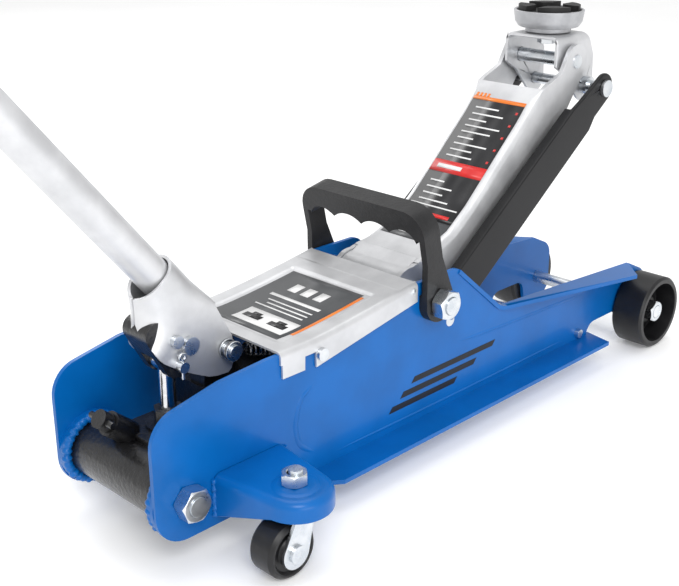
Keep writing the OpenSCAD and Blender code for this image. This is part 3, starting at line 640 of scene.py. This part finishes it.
def cover_label():
    """A dark panel with a white box of plain blocks, plain bars and an orange edge."""
    cover_panel("cover_label_base", 127, 217, -38, 40, BASE_LIFT, "label_grey")
    cover_panel("cover_label_orange", 140, 214, -41, -38, BASE_LIFT, "label_orange")
    cover_panel("cover_label_box", 134, 155, -34, 20, MARK_LIFT, "label_white")
    for i, y in enumerate((-29, -2)):
        cover_panel(f"cover_label_block_{i}", 141, 147, y, y + 18, TOP_LIFT, "label_black")
        cover_panel(f"cover_label_cabin_{i}", 147, 150.5, y + 4, y + 13, TOP_LIFT, "label_black")
    text_y = -28
    for i, (x, width) in enumerate(((161, 52), (166, 44), (171, 48))):
        cover_panel(f"cover_label_line_{i}", x, x + 1.6, text_y, text_y + width, MARK_LIFT, "label_white")
    cover_panel("cover_label_heading", 178, 181.5, text_y, 26, MARK_LIFT, "label_white")
    for i in range(3):
        y = -18 + 14 * i
        cover_panel(f"cover_label_mark_{i}", 190, 202, y, y + 9, MARK_LIFT, "label_white")


top_cover()
cover_label()

# ---------- lifting arm ----------

ARM_HALF, ARM_LEN, ARM_LOW, HUB_R, EAR_R = 35.0, 266.0, -30.0, 21.0, 15.0


def between(x, points):
    """Straight-line reading of a list of (place, value)."""
    for (a, u), (b, v) in zip(points, points[1:]):
        if x <= b:
            return u + (v - u) * (x - a) / (b - a)
    return points[-1][1]


# Upper edge of the arm as (along, up) from its pivot, as in the CAD source
ARM_TOP = [(20, 14), (28, 11), (42, 6), (64, 0), (92, 0), (180, 9.5), (205, 14), (216, 14.5)]
HUB_TOP = (14.36, 15.3)                   # where the top line leaves the hub circle
HUB_FOOT = (-7.18, -19.7)                 # where the lower line leaves it
EAR_FOOT = (ARM_LEN + 5.13, -14.1)        # where the lower line meets the ear circle


def circle_up(along, centre, radius):
    return math.sqrt(max(0.0, radius ** 2 - (along - centre) ** 2))


def arm_upper(along):
    """Height of the pressing's side wall at its top."""
    if along < HUB_TOP[0]:
        return circle_up(along, 0, HUB_R)
    if along > ARM_LEN - EAR_R / 2:
        return circle_up(along, ARM_LEN, EAR_R)
    return between(along, [HUB_TOP, *ARM_TOP[1:], (236, 9), (244, 7), (ARM_LEN - EAR_R / 2, 13)])


def arm_lower(along):
    """Height of the pressing's side wall at its foot."""
    if along < HUB_FOOT[0]:
        return -circle_up(along, 0, HUB_R)
    if along > EAR_FOOT[0]:
        return -circle_up(along, ARM_LEN, EAR_R)
    return between(along, [HUB_FOOT, (24, ARM_LOW), (ARM_LEN - 45, ARM_LOW), (ARM_LEN - 20, -22), EAR_FOOT])


def arm_pressing():
    """A pressed channel, open below, with round shoulders that fade out into the ears at its ends."""
    skin0, skin1 = 20.0, 216.0
    hub = [-HUB_R * math.cos(math.pi / 2 * k / 10) for k in range(10)] + [4, 8, 12, 14.4, 17]
    body = [20, 22, 24, 28, 33, 42, 48, 56, 64, 70, 80, 92, 110, 130, 150, 165, 180, 190, 198, 205, 210, 216]
    tip = [221, 228, 236, 244, 250, 254, 258.5, 262, 266]
    tip += [ARM_LEN + EAR_R * math.sin(math.pi / 2 * k / 9) for k in range(1, 10)]
    bm = bmesh.new()
    rows = []
    corner_min, corner_more = 0.7, 5.3
    for along in hub + body + tip:
        top, low = arm_upper(along), arm_lower(along)
        if skin0 <= along <= skin1:
            fullness = smooth_step(along, skin0, 33) * (1 - smooth_step(along, 203, skin1))
            r = corner_min + corner_more * fullness
            half = [(ARM_HALF, low), (ARM_HALF, top - r)]
            half += [(ARM_HALF - r * (1 - math.cos(a)), top - r * (1 - math.sin(a)))
                for a in (math.pi / 2 * k / 5 for k in range(1, 6))]
            half += [(14, top)]
            section = half + [(-y, u) for y, u in reversed(half)]
        else:
            section = [(ARM_HALF, low), (ARM_HALF, top), (-ARM_HALF, top), (-ARM_HALF, low)]
        rows.append([bm.verts.new(on_arm(along, y, u)) for y, u in section])
    for a, b in zip(rows, rows[1:]):
        if len(a) > 4 and len(b) > 4:
            for i in range(len(a) - 1):
                bm.faces.new((a[i], a[i + 1], b[i + 1], b[i]))
        else:
            bm.faces.new((a[0], a[1], b[1], b[0]))
            bm.faces.new((a[-2], a[-1], b[-1], b[-2]))
    bmesh.ops.remove_doubles(bm, verts=bm.verts, dist=0.00002)
    o = new_piece("lift_arm_pressing", bm, "silver_paint", "arm", bevel=0.8,
        smooth=32, solid=4.0)
    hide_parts("lift_arm")


def arm_knuckle():
    """The rolled rear end of the arm's upper face, over the shaft."""
    outer, inner, half_width = 19.8, 16.6, 30.6
    turn = [math.radians(52 + 9 * k) for k in range(18)]
    ring = [(25.5, 12.6)] + [(outer * math.cos(a), outer * math.sin(a)) for a in turn]
    ring += [(inner * math.cos(a), inner * math.sin(a)) for a in reversed(turn)]
    ring += [(23.5, 9.4)]
    bm = bmesh.new()
    prism(bm, [on_arm(x, -half_width, u) for x, u in ring], (0, 2 * half_width * MM, 0))
    new_piece("arm_knuckle", bm, "silver_paint", "arm", bevel=0.7, smooth=30)


arm_pressing()
arm_knuckle()

# ---------- handle socket ----------

HANDLE_DIR = Vector(JOINTS["handle_pull"]["axis"])
HANDLE_FRONT = Vector((HANDLE_DIR.z, 0, -HANDLE_DIR.x))
SOCKET_RIM = FULCRUM + Vector((-49, 0, 65)) * MM


def on_socket(down, front, y):
    """A point a distance down the handle from the rim, forward of its axis and to the left, in mm."""
    return SOCKET_RIM + (HANDLE_FRONT * front - HANDLE_DIR * down + Vector((0, y, 0))) * MM


def socket_pressing():
    """One sheet wrapped round the handle: closed at its rear near the rim, open with flat cheeks below."""
    half, closed_front, seam = 16.0, 50.0, 1.6
    rear_edge = [(0, 22), (7, 27), (15, 34), (24, 39.5), (36, 42), (45, 41.5), (65, 35), (87, 25), (97, 14)]
    front_edge = [(50, 12.5), (78, 7), (90, 0), (95, -6), (97, -10)]
    side_steps, front_steps, cheek_front = 9, 10, 4
    levels = [0, 3, 6, 10, 14, 18, 22, 26, 30, 34, 39, 44, 50, 56, 63, 70, 78, 84, 90, 94, 97]
    bm = bmesh.new()
    rows = []
    for t in levels:
        reach = between(t, rear_edge)
        wrap = 1 - smooth_step(t, 12, 36)
        square = 1 - 0.65 * smooth_step(t, 24, closed_front)
        if t > closed_front:
            edge = between(t, front_edge)
            line = [(-reach + (edge + reach) * j / (side_steps + cheek_front), half)
                for j in range(side_steps + cheek_front + 1)]
            mirrored = line
        else:
            line = []
            for j in range(side_steps):
                u = j / side_steps
                y_closed = max(seam, half * (1 - (1 - u) ** 2.4) ** 0.62)
                line.append((-reach * (1 - u), half + (y_closed - half) * wrap))
            line.append((0.0, half))
            for j in range(1, front_steps):
                a = math.pi / 2 * (1 - j / front_steps)
                line.append((half * math.cos(a) ** square, half * math.sin(a) ** square))
            line.append((half, 0.0))
            mirrored = line[:-1]
        full = line + [(f, -y) for f, y in reversed(mirrored)]
        rows.append([bm.verts.new(on_socket(t, f, y)) for f, y in full])
    keep = side_steps + cheek_front + 1
    for a, b in zip(rows, rows[1:]):
        if len(a) == len(b) and len(a) > 2 * keep:
            for i in range(len(a) - 1):
                bm.faces.new((a[i], a[i + 1], b[i + 1], b[i]))
        else:
            for i in range(keep - 1):
                bm.faces.new((a[i], a[i + 1], b[i + 1], b[i]))
                bm.faces.new((a[-1 - i], a[-2 - i], b[-2 - i], b[-1 - i]))
    o = new_piece("handle_socket_pressing", bm, "silver_paint", "pump_handle_socket",
        bevel=0.5, smooth=35, solid=2.3)
    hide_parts("handle_socket")


socket_pressing()

# ---------- stamped lines and graphic on the side plates ----------


def plate_ridge(name, side, points, radius, proud):
    """A pressed line: a round ridge mostly sunk in the plate, fading out at both ends."""
    curve, steps = [], 8
    for i in range(len(points) - 1):
        before, a, b, after = (points[max(0, min(len(points) - 1, i + k))] for k in (-1, 0, 1, 2))
        for k in range(steps):
            t = k / steps
            curve.append([0.5 * (2 * p1 + (p2 - p0) * t + (2 * p0 - 5 * p1 + 4 * p2 - p3) * t * t
                + (3 * p1 - p0 - 3 * p2 + p3) * t ** 3) for p0, p1, p2, p3 in zip(before, a, b, after)])
    curve.append(list(points[-1]))
    count = len(curve)
    bm = bmesh.new()
    path = []
    for i, (x, z) in enumerate(curve):
        fade = min(1.0, 5.0 * i / count, 5.0 * (count - 1 - i) / count)
        path.append(at(x, side * (PLATE_FACE - radius + proud * fade - 0.1), z))
    sweep(bm, path, radius * MM, 16)
    new_piece(name, bm, "blue_paint", "frame", smooth=60)


ARC_LINE = [(146, 97), (133, 90), (127, 78), (126, 64), (131, 51), (146, 40)]
UPPER_LINE = [(297, 79), (364, 75), (437, 72), (500, 69)]
LOWER_LINE = [(150, 33), (260, 31.5), (380, 31), (478, 31)]


def plate_lines(side, label):
    plate_ridge(f"plate_arc_{label}", side, ARC_LINE, 4.0, 0.9)
    plate_ridge(f"plate_upper_line_{label}", side, UPPER_LINE, 3.0, 0.5)
    plate_ridge(f"plate_lower_line_{label}", side, LOWER_LINE, 3.0, 0.5)


def plate_graphic(side, label):
    """Three plain slanted bars of growing length."""
    bm = bmesh.new()
    lean, height, low_bar, spacing = 4, 5, 42, 9
    for i, (x0, x1) in enumerate(((225, 305), (238, 330), (251, 355))):
        low = low_bar + spacing * i
        corners = [(x0, low), (x1, low), (x1 + lean, low + height), (x0 + lean, low + height)]
        prism(bm, [at(x, side * (PLATE_FACE + 0.02), z) for x, z in corners], (0, side * 0.12 * MM, 0))
    new_piece(f"plate_graphic_{label}", bm, "print_navy", "frame", smooth=30)


for plate_side, plate_label in SIDES:
    plate_lines(plate_side, plate_label)
for plate_side, plate_label in SIDES:
    plate_graphic(plate_side, plate_label)

# ---------- labels: blank panels and plain bars ----------


def arm_panel(name, a0, a1, y0, y1, lift, mat):
    """A thin sheet that follows the arm's upper face."""
    bm = bmesh.new()
    count = max(1, int((a1 - a0) / ARM_SHEET_STEP))
    rows = []
    for i in range(count + 1):
        a = a0 + (a1 - a0) * i / count
        rows.append([bm.verts.new(on_arm(a, y, between(a, ARM_TOP) + lift)) for y in (y0, y1)])
    join_rows(bm, rows)
    new_piece(name, bm, mat, "arm", smooth=30, solid=SHEET_T)


def arm_label():
    """Plain bars, dots and bands where the arm carries its label."""
    half, text_end, text_start = 28, 20, 23
    base, mark, over = 0.10, 0.22, 0.34
    arm_panel("arm_label_base", 70, 199, -half, half, base, "label_black")
    arm_panel("arm_label_foot", 44, 70, -half, half, base, "label_grey")
    arm_panel("arm_label_orange", 195.5, 199, -half, half, mark, "label_orange")
    for i in range(4):
        y = 12 + 4 * i
        arm_panel(f"arm_label_tick_{i}", 199, 202.5, y, y + 2.6, base, "label_orange")
    arm_panel("arm_label_red", 118, 130, -half, half, mark, "label_red")
    arm_panel("arm_label_red_bar", 122, 126, -4, 22, over, "label_white")
    arm_panel("arm_label_rule", 83, 84.4, -25, 25, mark, "label_white")
    for i, width in enumerate((30, 26, 38, 20, 34, 40, 22, 36, 28)):
        a = 135 + 6.5 * i
        arm_panel(f"arm_label_bar_{i}", a, a + 1.5, text_start - width, text_end, mark, "label_white")
        if i % 2 == 0:
            arm_panel(f"arm_label_dot_{i}", a - 0.4, a + 2.0, -25, -22.6, mark, "label_red")
    for i, width in enumerate((34, 24, 30, 18)):
        a = 88.5 + 6.6 * i
        arm_panel(f"arm_label_low_bar_{i}", a, a + 1.5, text_start - width, text_end, mark, "label_white")
    arm_panel("arm_label_foot_bar", 50, 58, 4, 24, mark, "label_white")
    arm_panel("arm_label_foot_red", 73.5, 77, -22, 4, mark, "label_red")


arm_label()

# ---------- stage ----------


FLOOR_Z = -0.0004                         # just below the wheels


def build_stage():
    bm = bmesh.new()
    half = 6.0
    corners = ((-half, -half), (half, -half), (half, half), (-half, half))
    bm.faces.new([bm.verts.new((x, y, FLOOR_Z)) for x, y in corners])
    m, tree, shader = material("studio_floor", Roughness=0.6, Emission_Strength=0.14)
    blend_colours(tree, shader, noise(tree, 3.0), (0.90, 0.90, 0.90), (0.93, 0.93, 0.93))
    MATERIALS["studio_floor"] = m
    new_piece("studio_floor", bm, "studio_floor")


def area_light(name, place, target, size, power, colour=(1, 1, 1)):
    data = bpy.data.lights.new(name, "AREA")
    data.shape = "RECTANGLE"
    data.size, data.size_y = size
    data.energy = power
    data.color = colour
    o = bpy.data.objects.new(name, data)
    o.location = place
    o.rotation_mode = "QUATERNION"
    o.rotation_quaternion = (Vector(target) - Vector(place)).to_track_quat("-Z", "Y")
    bpy.context.scene.collection.objects.link(o)


def light_scene():
    world = bpy.data.worlds.new("studio")
    bpy.context.scene.world = world
    world.use_nodes = True
    background = world.node_tree.nodes["Background"]
    background.inputs["Color"].default_value = (1.0, 1.0, 1.0, 1)
    background.inputs["Strength"].default_value = 0.80
    area_light("key", (-1.2, -1.6, 2.0), (0, 0, 0.1), (1.2, 0.9), 30)
    area_light("top", (0.3, 0.3, 2.4), (0, 0, 0.1), (1.6, 1.6), 16)
    area_light("fill", (-0.6, -2.4, 0.5), (0.1, 0, 0.15), (1.6, 0.9), 14)
    area_light("back_left", (0.4, 2.2, 1.2), (0, 0, 0.15), (1.2, 0.8), 12)


def place_camera():
    data = bpy.data.cameras.new("camera")
    data.sensor_width = 36.0
    data.lens = 60.97
    data.clip_start, data.clip_end = 0.01, 50
    o = bpy.data.objects.new("camera", data)
    o.location = (-0.5436, -0.5976, 0.4569)
    yaw, pitch, roll = (math.radians(d) for d in (44.76, 21.22, -0.13))
    forward = Vector((math.cos(yaw) * math.cos(pitch), math.sin(yaw) * math.cos(pitch), -math.sin(pitch)))
    o.rotation_mode = "QUATERNION"
    o.rotation_quaternion = forward.to_track_quat("-Z", "Y") @ Matrix.Rotation(roll, 3, "Z").to_quaternion()
    bpy.context.scene.collection.objects.link(o)
    bpy.context.scene.camera = o


build_stage()
light_scene()
place_camera()
bpy.context.scene.view_settings.view_transform = "Standard"
